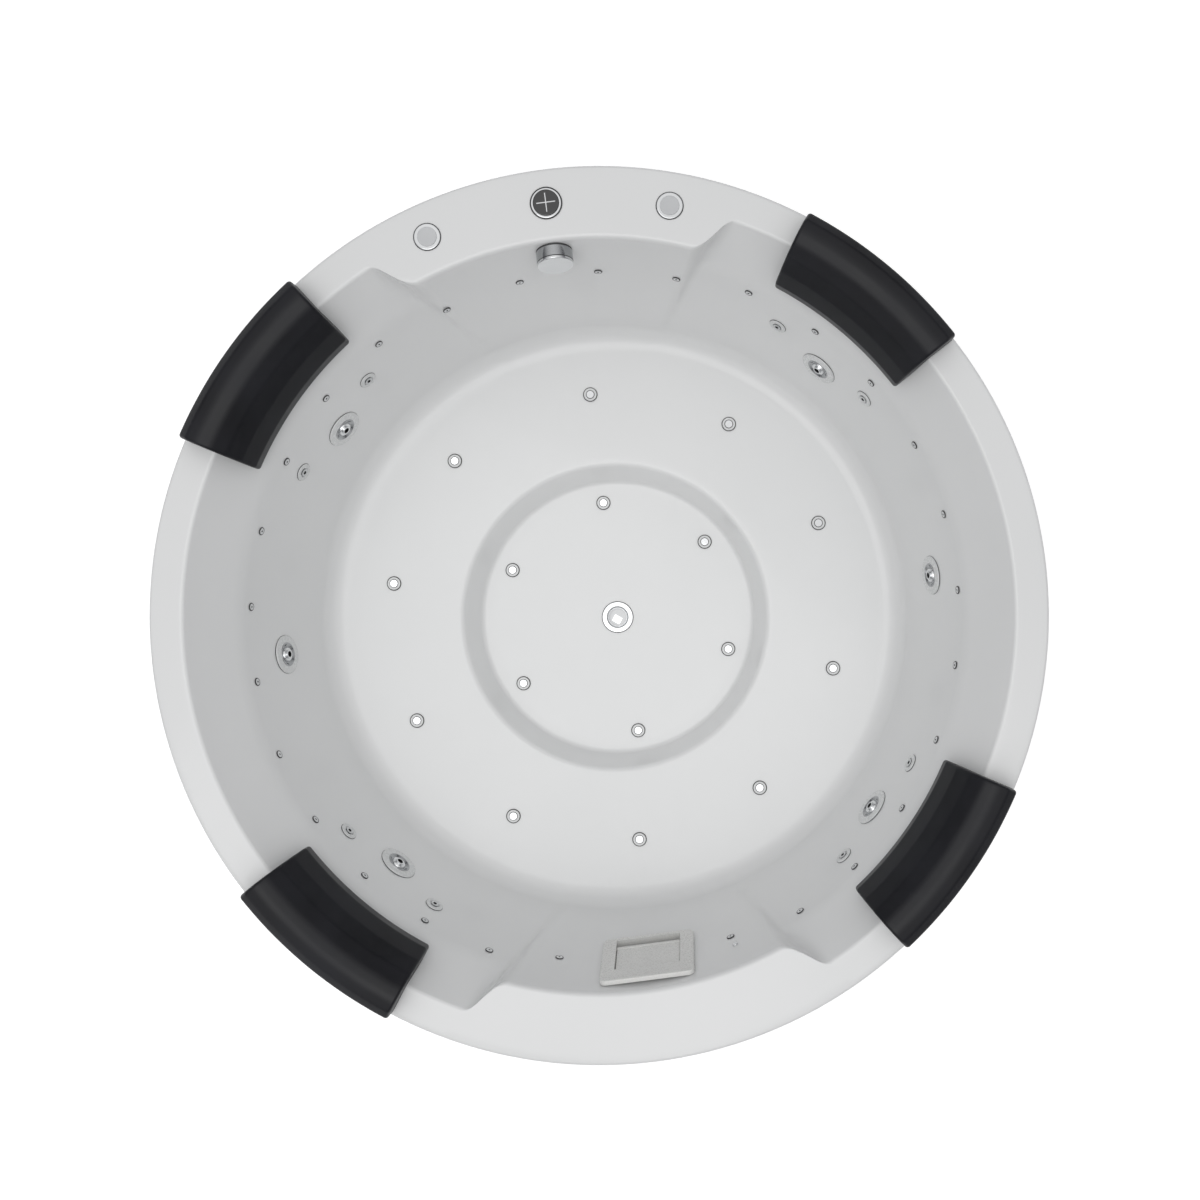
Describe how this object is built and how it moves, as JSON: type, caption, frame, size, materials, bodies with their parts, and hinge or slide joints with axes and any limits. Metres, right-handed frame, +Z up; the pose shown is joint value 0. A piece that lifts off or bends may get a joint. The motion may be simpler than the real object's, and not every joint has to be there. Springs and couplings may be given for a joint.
{
  "type": "round hot tub",
  "caption": "Round free-standing hot tub with a foot well, head pillows, swivelling water jets, air jets, deck buttons, skimmer, pump and blower on a levelled steel frame.",
  "frame": {"origin": "on the floor, under the centre of the round rim", "axes": "+Z up, +Y towards the deck section with the buttons and the spout, -Y towards the skimmer"},
  "size_m": [1.8, 1.7997, 0.766],
  "materials": {
    "acrylic_white": "glossy sanitary acrylic",
    "skirt_white": "glossy sanitary acrylic",
    "board": "raw board",
    "chrome": "polished",
    "jet_chrome": "polished",
    "frame_steel": "galvanised paint",
    "zinc_steel": "zinc plated",
    "foot_rubber": "matt",
    "pillow_pu": "soft integral-skin polyurethane foam",
    "black_plastic": "moulded",
    "jet_plastic": "moulded",
    "button_grey": "satin",
    "knob_black": "mirror gloss",
    "skimmer_plastic": "moulded",
    "pipe_pvc": "white pipe",
    "motor_grey": "enamel",
    "blower_plastic": "moulded"
  },
  "bodies": {
    "tub": {"air_blower": "blower_plastic", "air_control_bezel": "chrome", "air_pipes": "pipe_pvc", "back_jets": "jet_chrome", "button_bezels": "chrome", "control_box": "blower_plastic", "drain_body": "chrome", "floor_air_jets": "jet_chrome", "floor_board": "board", "foot_locknuts": "zinc_steel", "foot_pads": "foot_rubber", "foot_studs": "zinc_steel", "frame_base_ring": "frame_steel", "frame_crossbars": "frame_steel", "frame_uprights": "frame_steel", "jet_1_body": "jet_plastic", "jet_2_body": "jet_plastic", "jet_3_body": "jet_plastic", "jet_4_body": "jet_plastic", "jet_5_body": "jet_plastic", "jet_6_body": "jet_plastic", "level_sensor": "chrome", "pillow_studs": "black_plastic", "pump_motor": "motor_grey", "pump_volute": "black_plastic", "side_air_jets": "jet_chrome", "skimmer_frame": "skimmer_plastic", "skirt_back": "skirt_white", "skirt_front": "skirt_white", "skirt_left": "skirt_white", "skirt_right": "skirt_white", "skirt_screws": "chrome", "spout": "chrome", "suction_pipe": "pipe_pvc", "tub_shell": "acrylic_white", "waste_pipe": "pipe_pvc", "water_pipes": "pipe_pvc"},
    "button_left": {"button_cap_left": "button_grey"},
    "button_right": {"button_cap_right": "button_grey"},
    "air_control": {"air_control_knob": "knob_black"},
    "jet_1_bezel": {"jet_1_ring": "jet_chrome"},
    "jet_1_ball": {"jet_1_nozzle": "jet_chrome"},
    "jet_2_bezel": {"jet_2_ring": "jet_chrome"},
    "jet_2_ball": {"jet_2_nozzle": "jet_chrome"},
    "jet_3_bezel": {"jet_3_ring": "jet_chrome"},
    "jet_3_ball": {"jet_3_nozzle": "jet_chrome"},
    "jet_4_bezel": {"jet_4_ring": "jet_chrome"},
    "jet_4_ball": {"jet_4_nozzle": "jet_chrome"},
    "jet_5_bezel": {"jet_5_ring": "jet_chrome"},
    "jet_5_ball": {"jet_5_nozzle": "jet_chrome"},
    "jet_6_bezel": {"jet_6_ring": "jet_chrome"},
    "jet_6_ball": {"jet_6_nozzle": "jet_chrome"},
    "drain_plug_body": {"drain_plug": "chrome"},
    "flap": {"skimmer_flap": "skimmer_plastic"},
    "pillow_1_body": {"pillow_1": "pillow_pu"},
    "pillow_2_body": {"pillow_2": "pillow_pu"},
    "pillow_3_body": {"pillow_3": "pillow_pu"},
    "pillow_4_body": {"pillow_4": "pillow_pu"},
    "impeller": {"pump_impeller": "black_plastic"},
    "fan": {"blower_fan": "black_plastic"}
  },
  "joints": [
    {"name": "button_left_press", "type": "slide", "parent": "tub", "child": "button_left", "axis": [0, 0, -1], "range_m": [0, 0.004], "stiffness_N_per_m": 1500},
    {"name": "button_right_press", "type": "slide", "parent": "tub", "child": "button_right", "axis": [0, 0, -1], "range_m": [0, 0.004], "stiffness_N_per_m": 1500},
    {"name": "air_control_turn", "type": "hinge", "parent": "tub", "child": "air_control", "pos_m": [0, 0.83, 0.7], "axis": [0, 0, 1], "range_deg": [0, 180]},
    {"name": "jet_1_ring_turn", "type": "hinge", "parent": "tub", "child": "jet_1_bezel", "pos_m": [0.70831, 0, 0.428], "axis": [-0.9634, 0, 0.2681], "range_deg": [-90, 90]},
    {"name": "jet_1_nozzle_tilt", "type": "hinge", "parent": "jet_1_bezel", "child": "jet_1_ball", "pos_m": [0.71313, 0, 0.42666], "axis": [0, -1, 0], "range_deg": [-15, 15]},
    {"name": "jet_2_ring_turn", "type": "hinge", "parent": "tub", "child": "jet_2_bezel", "pos_m": [0.52222, 0.47853, 0.428], "axis": [-0.7103, -0.6509, 0.2681], "range_deg": [-90, 90]},
    {"name": "jet_2_nozzle_tilt", "type": "hinge", "parent": "jet_2_bezel", "child": "jet_2_ball", "pos_m": [0.52577, 0.48178, 0.42666], "axis": [0.6756, -0.7373, 0], "range_deg": [-15, 15]},
    {"name": "jet_3_ring_turn", "type": "hinge", "parent": "tub", "child": "jet_3_bezel", "pos_m": [-0.52139, 0.47944, 0.428], "axis": [0.7092, -0.6521, 0.2681], "range_deg": [-90, 90]},
    {"name": "jet_3_nozzle_tilt", "type": "hinge", "parent": "jet_3_bezel", "child": "jet_3_ball", "pos_m": [-0.52493, 0.4827, 0.42666], "axis": [0.6769, 0.7361, 0], "range_deg": [-15, 15]},
    {"name": "jet_4_ring_turn", "type": "hinge", "parent": "tub", "child": "jet_4_bezel", "pos_m": [-0.70827, 0.00742, 0.428], "axis": [0.9633, -0.0101, 0.2681], "range_deg": [-90, 90]},
    {"name": "jet_4_nozzle_tilt", "type": "hinge", "parent": "jet_4_bezel", "child": "jet_4_ball", "pos_m": [-0.71309, 0.00747, 0.42666], "axis": [0.0105, 0.9999, 0], "range_deg": [-15, 15]},
    {"name": "jet_5_ring_turn", "type": "hinge", "parent": "tub", "child": "jet_5_bezel", "pos_m": [-0.52472, -0.47579, 0.428], "axis": [0.7137, 0.6471, 0.2681], "range_deg": [-90, 90]},
    {"name": "jet_5_nozzle_tilt", "type": "hinge", "parent": "jet_5_bezel", "child": "jet_5_ball", "pos_m": [-0.52829, -0.47902, 0.42666], "axis": [-0.6717, 0.7408, 0], "range_deg": [-15, 15]},
    {"name": "jet_6_ring_turn", "type": "hinge", "parent": "tub", "child": "jet_6_bezel", "pos_m": [0.51549, -0.48577, 0.428], "axis": [-0.7011, 0.6607, 0.2681], "range_deg": [-90, 90]},
    {"name": "jet_6_nozzle_tilt", "type": "hinge", "parent": "jet_6_bezel", "child": "jet_6_ball", "pos_m": [0.519, -0.48908, 0.42666], "axis": [-0.6858, -0.7278, 0], "range_deg": [-15, 15]},
    {"name": "drain_plug_lift", "type": "slide", "parent": "tub", "child": "drain_plug_body", "axis": [0, 0, 1], "range_m": [0, 0.01]},
    {"name": "skimmer_flap_swing", "type": "hinge", "parent": "tub", "child": "flap", "pos_m": [0, -0.70573, 0.50907], "axis": [1, 0, 0], "range_deg": [0, 45], "stiffness_Nm_per_rad": 0.25, "springref_deg": -20.05},
    {"name": "pillow_1_lift", "type": "slide", "parent": "tub", "child": "pillow_1_body", "axis": [0, 0, 1], "range_m": [0, 0.03]},
    {"name": "pillow_2_lift", "type": "slide", "parent": "tub", "child": "pillow_2_body", "axis": [0, 0, 1], "range_m": [0, 0.03]},
    {"name": "pillow_3_lift", "type": "slide", "parent": "tub", "child": "pillow_3_body", "axis": [0, 0, 1], "range_m": [0, 0.03]},
    {"name": "pillow_4_lift", "type": "slide", "parent": "tub", "child": "pillow_4_body", "axis": [0, 0, 1], "range_m": [0, 0.03]},
    {"name": "pump_spin", "type": "hinge", "parent": "tub", "child": "impeller", "pos_m": [-0.15, 0.745, 0.16], "axis": [1, 0, 0], "continuous": true},
    {"name": "blower_spin", "type": "hinge", "parent": "tub", "child": "fan", "pos_m": [0.19112, -0.76653, 0.09], "axis": [0, 0, 1], "continuous": true}
  ]
}
